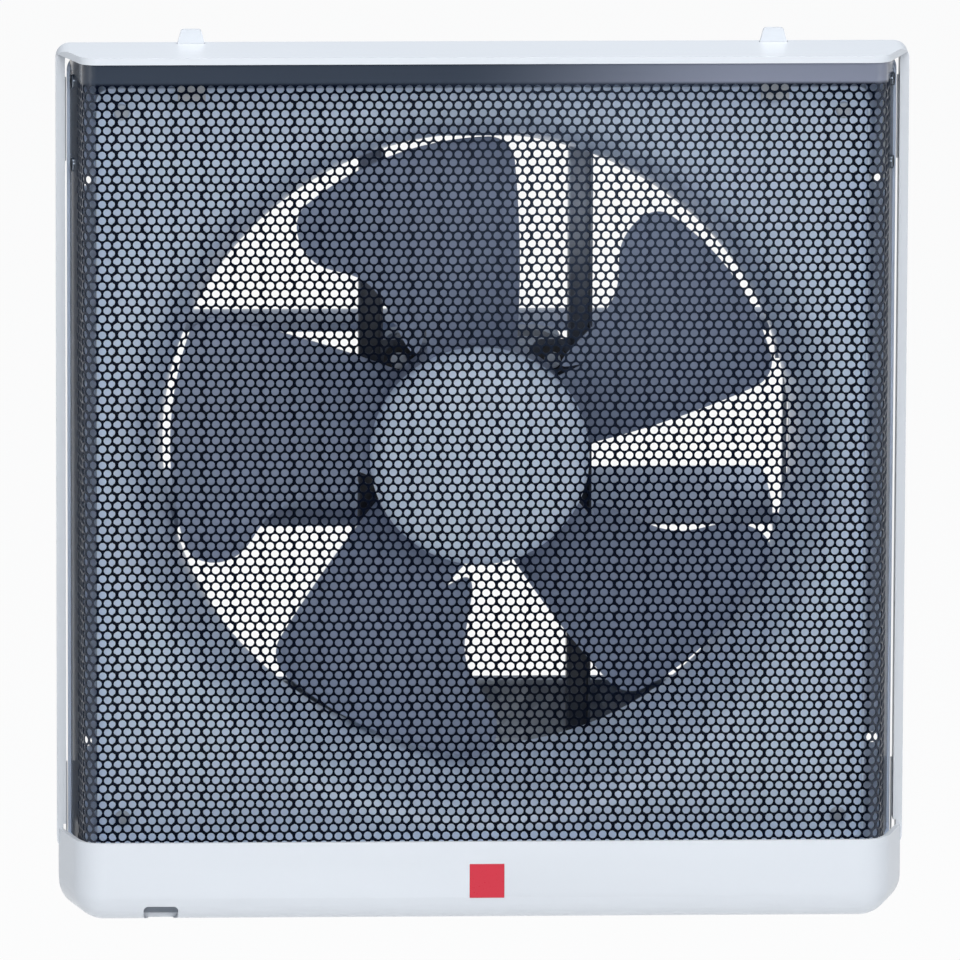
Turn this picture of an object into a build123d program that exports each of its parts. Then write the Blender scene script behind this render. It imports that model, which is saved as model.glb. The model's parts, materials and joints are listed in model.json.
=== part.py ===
"""Wall-mounted ventilating fan, 30 cm class, with a perforated front grille and a shutter.

Millimetres.  X runs to the right seen from the room, Y into the wall, Z up.  The origin is on
the fan's axis, in the plane of the wall, which is the rear face of the mounting flange.
"""
import math
import os

from build123d import *

# ---- driving dimensions -------------------------------------------------------------------
# white front frame; its width sets the other widths
frame_width = 416.0
frame_side = 4.5             # width of the side strips
frame_side_depth = 12.0
frame_front = 47.6           # how far cap and cover stand out from the wall
cap_setback = 13.0           # the front of the cap is this much narrower at each side
cap_thickness = 3.4
cap_corner = 7.0
cover_height = 40.4
cover_drop = 13.8            # the cover hangs this far below the square of the frame
cover_wall = 2.2
cover_inset = 0.8
cover_setback = 11.0
cover_plan_corner = 16.0
cover_bottom_corner = 15.0
strip_overlap = 12.0
notch_width = 17.0
notch_height = 8.4
notch_inset = 49.5           # from the cover's left end to the middle of the notch
notch_corner = 2.5

# wall box and its flange
flange_gap = 1.0             # between the flange and the frame's side strips
flange_sheet = 1.2
flange_corner = 8.0
flange_reach = 31.5          # how far the flange stands out round the box
box_sheet = 1.0
box_corner = 6.0
wall_hole_inset = 9.0
wall_hole_rise = 140.0
wall_hole_radius = 2.75

# orifice panel: flat panel with the bell mouth and throat drawn in it
panel_inset = 14.0           # the panel is this much narrower than the flange at each side
panel_sheet = 1.0
panel_standoff = 14.0        # the panel's face stands this far out from the wall
panel_lip = 6.0
panel_pillar = 5.0
panel_corner = 7.0
panel_screw_inset = 12.5
bell_margin = 2.5
bell_flare = 31.0
bell_lip = 20.0              # radius of the bell where it meets the panel
throat_end = 55.0
throat_land = 2.0

# screws and clearances
screw_radius = 2.0
screw_head_radius = 4.0
screw_head_height = 2.2
screw_hole_clearance = 0.1
running_clearance = 0.05     # radial, a shaft turning in its bore
seat_gap = 0.3               # between pieces that rest loosely on each other
link_clearance = 0.35        # radial, in the open pivots of the linkage

# propeller
blade_count = 5
blade_tip_gap = 3.5
blade_thickness = 2.2
blade_lead = 345.0           # helical lead of the pressure face
blade_root_depth = 38.0      # depth of the blade's radial line at the hub
blade_rake = 13.0            # how much further back the same line is at the tip
blade_edge_offset = 20.0     # the trailing edge, from the radial line
blade_edge_bow = 2.5
blade_tip_corner = 14.0
blade_overhang = 3.5         # the blades are trimmed this far behind the throat
hub_radius = 52.0
hub_wall = 2.5
hub_front = 12.0
hub_depth = 38.0
hub_boss_radius = 10.0
hub_boss_depth = 28.0
hub_rib = 2.0
drive_pin_radius = 1.5
drive_pin_length = 18.0
spinner_overlap = 2.0
spinner_height = 24.0
spinner_wall = 2.0
spinner_boss = 8.0
spinner_shoulder = 14.0

# stays that carry the motor
stay_gap = 5.5               # behind the blades
stay_width = 12.0
stay_depth = 12.0
stay_sheet = 1.2
stay_ear_width = 20.0
stay_ear_bend = 7.0
stay_foot = 34.0
bush_neck_radius = 5.0
bush_flange_radius = 7.5
bush_flange_height = 2.0

# motor
motor_width = 91.0
motor_corner = 14.0
motor_wall = 2.0
front_shell_depth = 17.8
rear_shell_depth = 17.0
core_length = 16.0
motor_bolt_inset = 7.5
motor_lug_radius = 6.5
stator_bore = 25.3
air_gap = 0.5
winding_inner = 28.0
winding_gap = 1.5            # between the windings and the shells' walls
winding_reach = 8.0
boss_radius = 16.0
front_boss_length = 11.0
rear_boss_length = 5.0
bearing_radius = 11.0
bearing_width = 7.0
shaft_radius = 4.0
shaft_lead = 15.0            # how far the shaft reaches in front of the hub's face
shaft_bore = 6.0

# shutter at the back of the box
shutter_gap = 5.0            # behind the motor
shutter_depth = 17.0
shutter_side = 10.0
shutter_web = 2.0
shutter_top = 18.0
shutter_sill = 32.0
shutter_recess = 9.0
pivot_inset = 10.0           # from the rear edge of the box to the louvers' axes
pivot_drop = 12.0            # from the frame's top member to the upper axis
louver_spacing = 99.0
louver_side_gap = 8.0
louver_chord = 94.0
louver_sheet = 1.2
louver_camber = 2.5
louver_lip = 2.5
louver_bead = 2.25
pivot_radius = 1.5
bush_wall = 1.5
crank_radius = 16.0
crank_angle = 223.0          # from the rearward direction, open
crank_width = 7.0
crank_sheet = 3.0
crank_pin_radius = 1.75
link_sheet = 2.0
link_width = 6.0
link_side_gap = 1.0
# droop below level when open, in degrees, and height of the blade over its axis, top to bottom
louver_forms = ((6.5, 2.25), (6.5, 2.25), (-1.0, 7.5))

# shutter drive
drive_lead = 29.0            # the drive's axis is this far in front of the louvers' axes
drive_rise = 39.0            # and this far above the bottom of the box
drive_width = 28.0
drive_depth = 36.0
drive_height = 38.0
drive_shaft_radius = 3.0
drive_shaft_length = 6.0
bracket_sheet = 1.2

# electrical compartment in the lower left corner of the box
terminal_width = 58.0
terminal_depth = 50.0
terminal_height = 40.0
terminal_gap = 8.0           # behind the front of the stays
terminal_wall = 2.0
capacitor_width = 30.0
capacitor_height = 22.0
capacitor_depth = 18.0
block_width = 28.0
block_height = 12.0
block_depth = 14.0
block_poles = 3
inlet_bore = 4.2
inlet_neck = 7.0
inlet_flange = 9.5
inlet_flange_height = 2.0

# perforated front sheet
sheet_thickness = 0.8
sheet_setback = 16.0         # the sheet's front is this much narrower than the frame at each side
sheet_flare = 9.0            # and its rear edge stands out this much further
sheet_corner = 9.0
sheet_inset = 2.6            # behind the front of the cap
sheet_rear = 3.0
sheet_tuck = 4.0             # how far the sheet reaches down into the cover
flute_count = 13
flute_spacing = 28.8
flute_width = 14.4
flute_depth = 1.2
flute_margin = 13.3          # between the sheet's top edge and the flutes
flute_foot = 2.8
rivet_radius = 1.6
rivet_head_radius = 3.4
rivet_head_height = 1.8
rivet_drop = 17.0            # from the top of the frame to the upper rivets
rivet_spacing = 41.0
rivet_depth = 13.0
ear_width = 14.0
ear_thickness = 2.0
ear_length = 61.6
rib_length = 41.0

# catches on top
catch_inset = 66.0
catch_base = 13.3
catch_tip = 9.5
catch_rise = 7.0
catch_thickness = 3.0
catch_front = 5.5
catch_shoe_height = 5.0
catch_corner = 1.6

# ---- derived sizes ------------------------------------------------------------------------
# widths and heights
frame_half = frame_width / 2
frame_front_width = frame_width - 2 * cap_setback
cover_width = frame_width - 2 * cover_inset
cover_front_width = frame_width - 2 * cover_setback
cover_bottom = -frame_half - cover_drop
cover_top = cover_bottom + cover_height
flange_width = frame_width - 2 * frame_side - 2 * flange_gap
box_width = flange_width - 2 * flange_reach
box_inside = box_width / 2 - box_sheet
panel_width = flange_width - 2 * panel_inset
panel_screw_span = panel_width - 2 * panel_screw_inset
bell_radius = panel_width / 2 - bell_margin
throat_radius = bell_radius - bell_flare
propeller_radius = throat_radius - blade_tip_gap
spinner_radius = hub_radius + spinner_overlap
motor_bolt_span = motor_width - 2 * motor_bolt_inset
winding_outer = motor_width / 2 - motor_wall - winding_gap
stay_offset = motor_bolt_span / 2 + bush_flange_radius + seat_gap + stay_width / 2
screw_hole_radius = screw_radius + screw_hole_clearance

# depths, from the room to the outside
panel_front = -panel_standoff
panel_rear = panel_front + panel_sheet
panel_foot = -flange_sheet
bell_depth = throat_end - throat_land - panel_front
throat_start = throat_end - throat_land
bell_curve = (bell_flare**2 + bell_depth**2 - 2 * bell_depth * bell_lip) / (
    2 * (bell_flare - bell_lip)
)
bell_turn = math.degrees(math.atan2(bell_depth - bell_lip, bell_curve - bell_flare))
hub_rear = hub_front + hub_depth
hub_boss_rear = hub_front + hub_boss_depth
blade_rear = throat_end + blade_overhang
stay_front = blade_rear + stay_gap
bush_rear = stay_front + stay_sheet + bush_flange_height
core_front = bush_rear + front_shell_depth
core_rear = core_front + core_length
shell_rear = core_rear + rear_shell_depth
boss_front = bush_rear - front_boss_length
boss_rear = shell_rear + rear_boss_length
bearing_front_start = boss_front + motor_wall
bearing_rear_start = boss_rear - motor_wall - bearing_width
shaft_front = hub_front - shaft_lead
shaft_rear = bearing_rear_start + bearing_width - seat_gap
shutter_front = boss_rear + shutter_gap
box_depth = shutter_front + shutter_depth
terminal_front = stay_front + terminal_gap
terminal_rear = terminal_front + terminal_depth
pivot_depth = box_depth - pivot_inset

# shutter
opening_side = box_inside - shutter_side
opening_top = box_inside - shutter_top
opening_bottom = -box_inside + shutter_sill
pivot_heights = [
    opening_top - pivot_drop - louver_spacing * i for i in range(len(louver_forms))
]
louver_end = opening_side - louver_side_gap
crank_side = louver_end + crank_sheet
link_side = crank_side + link_side_gap
pin_end = link_side + link_sheet + link_side_gap
crank_y = crank_radius * math.cos(math.radians(crank_angle))
crank_z = crank_radius * math.sin(math.radians(crank_angle))
bush_radius = pivot_radius + running_clearance + bush_wall
drive_pivot_depth = pivot_depth - drive_lead
drive_pivot_height = -box_inside + drive_rise

# front sheet
sheet_front = frame_front - sheet_inset
sheet_front_width = frame_width - 2 * sheet_setback
sheet_rear_width = sheet_front_width + 2 * sheet_flare
sheet_top = frame_half - cap_thickness - seat_gap
sheet_bottom = cover_top - sheet_tuck
flute_top = sheet_top - flute_margin
flute_bottom = sheet_bottom + flute_foot
rivet_heights = (frame_half - rivet_drop, frame_half - rivet_drop - rivet_spacing)
catch_offset = frame_half - catch_inset


def at_depth(y):
    """A sketch plane parallel to the wall at depth y, facing the room."""
    return Plane.XZ.offset(-y)


def save(piece, label):
    """Name a finished piece and write it."""
    piece.part.label = label
    export_step(piece.part, f"parts/{label}.step")


os.makedirs("parts", exist_ok=True)
inlet_place = ((terminal_front + terminal_rear) / 2, -box_inside + terminal_height / 2)

# ---- wall box: folded sheet-steel sleeve with the mounting flange ---------------------------
with BuildPart() as wall_box:
    with BuildSketch(at_depth(box_depth)):
        RectangleRounded(box_width, box_width, box_corner)
        offset(amount=-box_sheet, mode=Mode.SUBTRACT)
    extrude(amount=box_depth)
    with BuildSketch(at_depth(0)):
        RectangleRounded(flange_width, flange_width, flange_corner)
        RectangleRounded(2 * box_inside, 2 * box_inside, box_corner - box_sheet, mode=Mode.SUBTRACT)
        with GridLocations(flange_width - 2 * wall_hole_inset, 2 * wall_hole_rise, 2, 2):
            Circle(wall_hole_radius, mode=Mode.SUBTRACT)
        with GridLocations(panel_screw_span, panel_screw_span, 2, 2):
            Circle(screw_hole_radius, mode=Mode.SUBTRACT)
    extrude(amount=flange_sheet)
    # screw holes for the stays' feet, in the top and bottom walls
    with BuildSketch(Plane.XY.offset(-box_width / 2)):
        with Locations((0, stay_front + stay_foot - stay_width / 2)):
            with GridLocations(2 * stay_offset, 1, 2, 1):
                Circle(screw_hole_radius)
    extrude(amount=box_width, mode=Mode.SUBTRACT)
    # screw holes for the shutter frame
    with BuildSketch(Plane.XY.offset(-box_width / 2)):
        with Locations((0, shutter_front + shutter_recess / 2)):
            with GridLocations(box_width / 2, 1, 2, 1):
                Circle(screw_hole_radius)
    extrude(amount=box_width, mode=Mode.SUBTRACT)
    # hole for the supply lead's bush
    with BuildSketch(Plane.YZ.offset(-box_width / 2)):
        with Locations(inlet_place):
            Circle(inlet_neck)
    extrude(amount=box_sheet, mode=Mode.SUBTRACT)
save(wall_box, "wall_box")

# ---- orifice panel: flat panel, turned rim and drawn bell mouth -----------------------------
with BuildPart() as orifice_panel:
    with BuildSketch(at_depth(panel_rear)):
        RectangleRounded(panel_width, panel_width, panel_corner)
        Circle(bell_radius, mode=Mode.SUBTRACT)
    extrude(amount=panel_sheet)
    # rim, turned back to the flange and forward to a lip
    with BuildSketch(at_depth(panel_foot)):
        RectangleRounded(panel_width, panel_width, panel_corner)
        offset(amount=-panel_sheet, mode=Mode.SUBTRACT)
    extrude(amount=panel_foot - panel_front + panel_lip)
    # screw pillars in the corners
    with BuildSketch(at_depth(panel_foot)):
        with GridLocations(panel_screw_span, panel_screw_span, 2, 2):
            Circle(panel_pillar)
    extrude(amount=panel_foot - panel_front)
    with BuildSketch(at_depth(panel_foot)):
        with GridLocations(panel_screw_span, panel_screw_span, 2, 2):
            Circle(screw_hole_radius)
    extrude(amount=panel_foot - panel_front, mode=Mode.SUBTRACT)
    with BuildSketch(Plane.XY):
        with BuildLine():
            for wall in (0, panel_sheet):
                Line((throat_radius + wall, throat_end), (throat_radius + wall, throat_start))
                CenterArc(
                    (throat_radius + bell_curve, throat_start), bell_curve - wall, 180, bell_turn
                )
                CenterArc(
                    (bell_radius, panel_front + bell_lip), bell_lip - wall, 180 + bell_turn,
                    90 - bell_turn,
                )
            Line((throat_radius, throat_end), (throat_radius + panel_sheet, throat_end))
            Line((bell_radius, panel_front), (bell_radius, panel_rear))
        make_face()
    revolve(axis=Axis.Y)
save(orifice_panel, "orifice_panel")

with BuildPart() as panel_screws:
    with BuildSketch(at_depth(0)):
        with GridLocations(panel_screw_span, panel_screw_span, 2, 2):
            Circle(screw_radius)
    extrude(amount=-panel_front)
    with BuildSketch(at_depth(panel_front)):
        with GridLocations(panel_screw_span, panel_screw_span, 2, 2):
            Circle(screw_head_radius)
    extrude(amount=screw_head_height)
    chamfer(panel_screws.faces().sort_by(Axis.Y)[:4].edges(), screw_head_height / 3)
save(panel_screws, "panel_screws")

# ---- motor stays: two upright channels, open to the room, with feet and ears ----------------
ear_inner = motor_bolt_span / 2 - stay_ear_width / 2
for side, label in ((-1, "motor_stay_left"), (1, "motor_stay_right")):
    with BuildPart() as motor_stay:
        with BuildSketch(Plane.XY.offset(-box_inside)):
            with Locations((side * stay_offset, stay_front + stay_depth / 2)):
                Rectangle(stay_width, stay_depth)
            with Locations((side * stay_offset, stay_front - stay_sheet + stay_depth / 2)):
                Rectangle(stay_width - 2 * stay_sheet, stay_depth, mode=Mode.SUBTRACT)
        extrude(amount=2 * box_inside)
        # feet, folded back against the top and bottom walls of the box
        for level in (-box_inside, box_inside - stay_sheet):
            with BuildSketch(Plane.XY.offset(level)):
                with Locations((side * stay_offset, stay_front + stay_foot / 2)):
                    Rectangle(stay_width, stay_foot)
                with Locations((side * stay_offset, stay_front + stay_foot - stay_width / 2)):
                    Circle(screw_hole_radius, mode=Mode.SUBTRACT)
            extrude(amount=stay_sheet)
        # ears that run into the inner flange in a bend and reach inwards to the motor's bolts
        flange_centre = side * (stay_offset - (stay_width - stay_sheet) / 2)
        ear_end = side * ear_inner
        with BuildSketch(at_depth(stay_front + stay_sheet)) as ears:
            with Locations((flange_centre, 0)):
                Rectangle(stay_sheet, motor_bolt_span + 2 * stay_ear_width)
            for level in (-motor_bolt_span / 2, motor_bolt_span / 2):
                with Locations(((flange_centre + ear_end) / 2, level)):
                    Rectangle(abs(flange_centre - ear_end), stay_ear_width)
            inner = ears.vertices().group_by(Axis.X)[0 if side > 0 else -1]
            bends = ears.vertices().filter_by(
                lambda v: abs(abs(abs(v.Z) - motor_bolt_span / 2) - stay_ear_width / 2) < 0.01
            )
            fillet([v for v in bends if v not in inner], stay_ear_bend)
            fillet(ears.vertices().group_by(Axis.X)[0 if side > 0 else -1], stay_ear_width / 4)
            with Locations(*[(side * motor_bolt_span / 2, z * motor_bolt_span / 2) for z in (-1, 1)]):
                Circle(bush_neck_radius, mode=Mode.SUBTRACT)
        extrude(amount=stay_sheet)
    save(motor_stay, label)

with BuildPart() as stay_screws:
    for sign in (-1, 1):
        with BuildSketch(Plane.XY.offset(sign * (box_inside - stay_sheet))):
            with Locations((0, stay_front + stay_foot - stay_width / 2)):
                with GridLocations(2 * stay_offset, 1, 2, 1):
                    Circle(screw_radius)
        extrude(amount=sign * (stay_sheet + box_sheet))
        with BuildSketch(Plane.XY.offset(sign * (box_inside - stay_sheet))):
            with Locations((0, stay_front + stay_foot - stay_width / 2)):
                with GridLocations(2 * stay_offset, 1, 2, 1):
                    Circle(screw_head_radius)
        extrude(amount=-sign * screw_head_height)
save(stay_screws, "stay_screws")

# ---- rubber bushes between the stays' ears and the motor ------------------------------------
with BuildPart() as motor_bushes:
    for start, height, radius in (
        (bush_rear, bush_flange_height, bush_flange_radius),
        (stay_front + stay_sheet, stay_sheet, bush_neck_radius),
        (stay_front, bush_flange_height, bush_flange_radius),
    ):
        with BuildSketch(at_depth(start)):
            with GridLocations(motor_bolt_span, motor_bolt_span, 2, 2):
                Circle(radius)
                Circle(screw_hole_radius, mode=Mode.SUBTRACT)
        extrude(amount=height)
save(motor_bushes, "motor_bushes")

# ---- motor: two pressed end shells that clamp the laminated core ----------------------------


def motor_shell(open_face, towards_room, depth, boss_length, seat_length, bore):
    """One end shell: square cup, bolt lugs, bearing boss and its seat."""
    sign = 1 if towards_room else -1
    with BuildPart() as shell:
        with BuildSketch(at_depth(open_face)):
            RectangleRounded(motor_width, motor_width, motor_corner)
        extrude(amount=sign * depth)
        rim = shell.faces().sort_by(Axis.Y)[0 if towards_room else -1]
        fillet(rim.edges(), motor_wall)
        with BuildSketch(at_depth(open_face)):
            RectangleRounded(
                motor_width - 2 * motor_wall, motor_width - 2 * motor_wall, motor_corner - motor_wall
            )
        extrude(amount=sign * (depth - motor_wall), mode=Mode.SUBTRACT)
        with BuildSketch(at_depth(open_face)):
            with GridLocations(motor_bolt_span, motor_bolt_span, 2, 2):
                Circle(motor_lug_radius)
        extrude(amount=sign * (depth - motor_wall / 2))
        far_face = open_face - sign * depth
        with BuildSketch(at_depth(far_face + sign * motor_wall)):
            Circle(boss_radius)
        extrude(amount=sign * (boss_length + motor_wall))
        seat_end = far_face - sign * (boss_length - motor_wall)
        with BuildSketch(at_depth(seat_end)):
            Circle(bearing_radius)
        extrude(amount=-sign * seat_length, mode=Mode.SUBTRACT)
        if bore > 0:
            with BuildSketch(at_depth(open_face)):
                Circle(bore)
            extrude(amount=sign * (depth + boss_length), mode=Mode.SUBTRACT)
        with BuildSketch(at_depth(open_face)):
            with GridLocations(motor_bolt_span, motor_bolt_span, 2, 2):
                Circle(screw_hole_radius)
        extrude(amount=sign * depth, mode=Mode.SUBTRACT)
    return shell


front_seat = core_front - boss_front - motor_wall
rear_seat = boss_rear - motor_wall - core_rear
motor_front_shell = motor_shell(
    core_front, True, front_shell_depth, front_boss_length, front_seat, shaft_bore
)
save(motor_front_shell, "motor_front_shell")
motor_rear_shell = motor_shell(
    core_rear, False, rear_shell_depth, rear_boss_length, rear_seat, 0
)
save(motor_rear_shell, "motor_rear_shell")

with BuildPart() as stator_core:
    with BuildSketch(at_depth(core_rear)):
        RectangleRounded(motor_width, motor_width, motor_corner)
        Circle(stator_bore, mode=Mode.SUBTRACT)
        with GridLocations(motor_bolt_span, motor_bolt_span, 2, 2):
            Circle(screw_hole_radius, mode=Mode.SUBTRACT)
    extrude(amount=core_length)
save(stator_core, "stator_core")

with BuildPart() as stator_windings:
    for start in (core_front, core_rear + winding_reach):
        with BuildSketch(at_depth(start)):
            Circle(winding_outer)
            Circle(winding_inner, mode=Mode.SUBTRACT)
        extrude(amount=winding_reach)
save(stator_windings, "stator_windings")

for start, label in ((bearing_front_start, "bearing_front"), (bearing_rear_start, "bearing_rear")):
    with BuildPart() as bearing:
        with BuildSketch(at_depth(start + bearing_width)):
            Circle(bearing_radius)
            Circle(shaft_radius + running_clearance, mode=Mode.SUBTRACT)
        extrude(amount=bearing_width)
    save(bearing, label)

with BuildPart() as motor_shaft:
    with BuildSketch(at_depth(shaft_rear)):
        Circle(shaft_radius)
    extrude(amount=shaft_rear - shaft_front)
    chamfer(motor_shaft.faces().sort_by(Axis.Y)[0].edges(), shaft_radius / 8)
    # cross hole for the drive pin
    pin_depth = hub_boss_rear - 1.5 * drive_pin_radius
    with BuildSketch(Plane.YZ.offset(-shaft_radius)):
        with Locations((pin_depth, 0)):
            Circle(drive_pin_radius)
    extrude(amount=2 * shaft_radius, mode=Mode.SUBTRACT)
save(motor_shaft, "motor_shaft")

with BuildPart() as drive_pin:
    with BuildSketch(Plane.YZ.offset(-drive_pin_length / 2)):
        with Locations((pin_depth, 0)):
            Circle(drive_pin_radius)
    extrude(amount=drive_pin_length)
save(drive_pin, "drive_pin")

with BuildPart() as rotor_core:
    with BuildSketch(at_depth(core_rear)):
        Circle(stator_bore - air_gap)
        Circle(shaft_radius, mode=Mode.SUBTRACT)
    extrude(amount=core_length)
save(rotor_core, "rotor_core")

with BuildPart() as motor_bolts:
    bolt_front = stay_front - bush_flange_height
    with BuildSketch(at_depth(shell_rear + 2 * screw_head_height)):
        with GridLocations(motor_bolt_span, motor_bolt_span, 2, 2):
            Circle(screw_radius)
    extrude(amount=shell_rear + 2 * screw_head_height - bolt_front)
    with BuildSketch(at_depth(bolt_front)):
        with GridLocations(motor_bolt_span, motor_bolt_span, 2, 2):
            Circle(screw_head_radius)
    extrude(amount=screw_head_height)
    with BuildSketch(at_depth(shell_rear + screw_head_height)):
        with GridLocations(motor_bolt_span, motor_bolt_span, 2, 2):
            RegularPolygon(screw_head_radius, 6)
    extrude(amount=screw_head_height)
save(motor_bolts, "motor_bolts")

# ---- propeller: one blade lofted along its twist, cut to its outline, then repeated ---------
blade_slope = blade_lead / (2 * math.pi)


def blade_section(radius):
    """Thin slanted section of the blade in the plane at one radius."""
    share = (radius - hub_radius) / (propeller_radius - hub_radius)
    depth = blade_root_depth + blade_rake * share
    slope = blade_slope / radius
    half = blade_thickness / 2 * math.hypot(1, slope)
    back = 2 * blade_edge_offset
    front = -propeller_radius * 0.75
    with BuildSketch(Plane.XY.offset(radius)) as section:
        with BuildLine():
            Polyline(
                (front, depth + slope * front - half),
                (back, depth + slope * back - half),
                (back, depth + slope * back + half),
                (front, depth + slope * front + half),
                close=True,
            )
        make_face()
    return section.sketch


with BuildPart() as blade:
    section_radii = (0.8 * hub_radius, 1.5 * hub_radius, 2.2 * hub_radius, 1.07 * propeller_radius)
    loft([blade_section(radius) for radius in section_radii])
    with BuildSketch(at_depth(blade_rear)) as outline:
        with BuildLine():
            tip_end = Vector(0, propeller_radius).rotate(Axis.Z, 34)
            edge_tip = blade_edge_offset - blade_edge_bow
            tip_start = (edge_tip, math.sqrt(propeller_radius**2 - edge_tip**2))
            root = 0.85 * hub_radius
            edge_crown = (blade_edge_offset + blade_edge_bow / 2, (root + propeller_radius) / 2)
            edge = ThreePointArc((blade_edge_offset, root), edge_crown, tip_start)
            tip = RadiusArc(tip_start, (tip_end.X, tip_end.Y), -propeller_radius)
            lobe = Spline(
                tip @ 1,
                (-propeller_radius * 0.595, propeller_radius * 0.755),
                (-propeller_radius * 0.54, propeller_radius * 0.655),
                (-propeller_radius * 0.33, propeller_radius * 0.535),
                (-propeller_radius * 0.19, propeller_radius * 0.37),
                (-propeller_radius * 0.17, root),
                tangents=[tip % 1, (0, -1)],
            )
            Line(lobe @ 1, edge @ 0)
        make_face()
        corner = outline.vertices().filter_by(lambda v: v.X > 0).sort_by(Axis.Z)[-1]
        fillet(corner, blade_tip_corner)
    extrude(amount=4 * hub_rear, mode=Mode.INTERSECT)

with BuildPart() as propeller:
    with BuildSketch(at_depth(hub_rear)):
        Circle(hub_radius)
    extrude(amount=hub_rear - hub_front)
    for i in range(blade_count):
        add(blade.part.rotate(Axis.Y, i * 360 / blade_count))
    # nothing of the blades stands inside the spinner
    with BuildSketch(at_depth(hub_front)):
        Circle(spinner_radius + seat_gap)
    extrude(amount=hub_rear, mode=Mode.SUBTRACT)
    with BuildSketch(at_depth(2 * hub_rear)):
        Circle(hub_radius - hub_wall)
    extrude(amount=2 * hub_rear - hub_front - hub_wall, mode=Mode.SUBTRACT)
    with BuildSketch(at_depth(hub_boss_rear)):
        Circle(hub_boss_radius)
    extrude(amount=hub_boss_rear - hub_front)
    # ribs between boss and rim
    with BuildSketch(at_depth(hub_boss_rear - hub_wall)):
        with PolarLocations((hub_radius + hub_boss_radius) / 2, blade_count, start_angle=90):
            Rectangle(hub_radius - hub_boss_radius - hub_wall / 2, hub_rib)
    extrude(amount=hub_boss_rear - 2 * hub_wall - hub_front)
    with BuildSketch(at_depth(hub_boss_rear)):
        Circle(shaft_radius)
    extrude(amount=hub_boss_rear - hub_front, mode=Mode.SUBTRACT)
    # slot that takes the drive pin
    with BuildSketch(at_depth(hub_boss_rear)):
        Rectangle(2 * hub_boss_radius, 2 * drive_pin_radius + 2 * screw_hole_clearance)
    extrude(amount=hub_boss_rear - pin_depth + drive_pin_radius, mode=Mode.SUBTRACT)
save(propeller, "propeller")

# the dome is a flat crown arc that runs into a round shoulder and a short skirt
crown_front = hub_front - spinner_height
spinner_skirt = hub_front - spinner_shoulder / 4
shoulder_offset = spinner_radius - spinner_shoulder
crown_rise = spinner_skirt - spinner_shoulder - crown_front
crown_drop = (shoulder_offset**2 - crown_rise**2) / (2 * crown_rise)
crown_radius = crown_drop + crown_rise + spinner_shoulder
shoulder_turn = math.degrees(math.atan2(crown_drop, shoulder_offset))


def dome_outline(wall):
    """Half outline of the dome from rim to crown, moved in by wall."""
    rim = spinner_radius - wall
    with BuildLine() as outline:
        Line((rim, hub_front), (rim, spinner_skirt))
        CenterArc(
            (shoulder_offset, spinner_skirt), spinner_shoulder - wall, 0, -shoulder_turn
        )
        CenterArc(
            (0, spinner_skirt + crown_drop), crown_radius - wall, -shoulder_turn, shoulder_turn - 90
        )
    return outline.line


with BuildPart() as spinner:
    with BuildSketch(Plane.XY):
        with BuildLine():
            add(dome_outline(0))
            add(dome_outline(spinner_wall))
            Line((spinner_radius, hub_front), (spinner_radius - spinner_wall, hub_front))
            Line((0, crown_front), (0, crown_front + spinner_wall))
        make_face()
        with BuildLine():
            Polyline(
                (0, crown_front + spinner_wall / 2),
                (spinner_boss, crown_front + 1.5 * spinner_wall),
                (spinner_boss, hub_front),
                (shaft_radius, hub_front),
                (shaft_radius, shaft_front),
                (0, shaft_front),
                close=True,
            )
        make_face()
    revolve(axis=Axis.Y)
save(spinner, "spinner")

# ---- shutter frame: channel-section frame at the back of the box ----------------------------
frame_edge = box_inside - seat_gap
opening_height = opening_top - opening_bottom
opening_middle = (opening_top + opening_bottom) / 2
rail_rear = shutter_front + shutter_recess + shutter_web
with BuildPart() as shutter_frame:
    with BuildSketch(at_depth(box_depth)):
        RectangleRounded(2 * frame_edge, 2 * frame_edge, box_corner - box_sheet)
        with Locations((0, opening_middle)):
            Rectangle(2 * opening_side, opening_height, mode=Mode.SUBTRACT)
    extrude(amount=shutter_depth)
    # the sides are channels, hollow from outside
    for side in (-1, 1):
        with BuildSketch(Plane.YZ.offset(side * box_inside)):
            with Locations((shutter_front + shutter_depth / 2, opening_middle)):
                Rectangle(shutter_depth - 2 * shutter_web, opening_height)
        extrude(amount=-side * (shutter_side - shutter_web), mode=Mode.SUBTRACT)
    # top member and sill are channels too, open to the room, and shallower than the sides
    for low, high in (
        (opening_top + shutter_web, frame_edge - shutter_web),
        (-frame_edge + shutter_web, opening_bottom - shutter_web),
    ):
        with BuildSketch(at_depth(shutter_front + shutter_recess)):
            with Locations((0, (low + high) / 2)):
                Rectangle(2 * opening_side - 2 * shutter_web, high - low)
        extrude(amount=shutter_recess, mode=Mode.SUBTRACT)
    for low, high in (
        (opening_top, frame_edge - shutter_web),
        (-frame_edge + shutter_web, opening_bottom),
    ):
        with BuildSketch(at_depth(box_depth)):
            with Locations((0, (low + high) / 2)):
                Rectangle(2 * opening_side - 2 * shutter_web, high - low)
        extrude(amount=box_depth - rail_rear, mode=Mode.SUBTRACT)
    # seats of the pivot bushes
    with BuildSketch(Plane.YZ.offset(-box_inside)):
        with Locations(*[(pivot_depth, z) for z in pivot_heights]):
            Circle(bush_radius)
    extrude(amount=2 * box_inside, mode=Mode.SUBTRACT)
    # screw holes
    for side in (-1, 1):
        with BuildSketch(Plane.XY.offset(side * box_inside)):
            with Locations((0, shutter_front + shutter_recess / 2)):
                with GridLocations(box_width / 2, 1, 2, 1):
                    Circle(screw_radius)
        extrude(amount=-side * 2 * shutter_web, mode=Mode.SUBTRACT)
save(shutter_frame, "shutter_frame")

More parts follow.
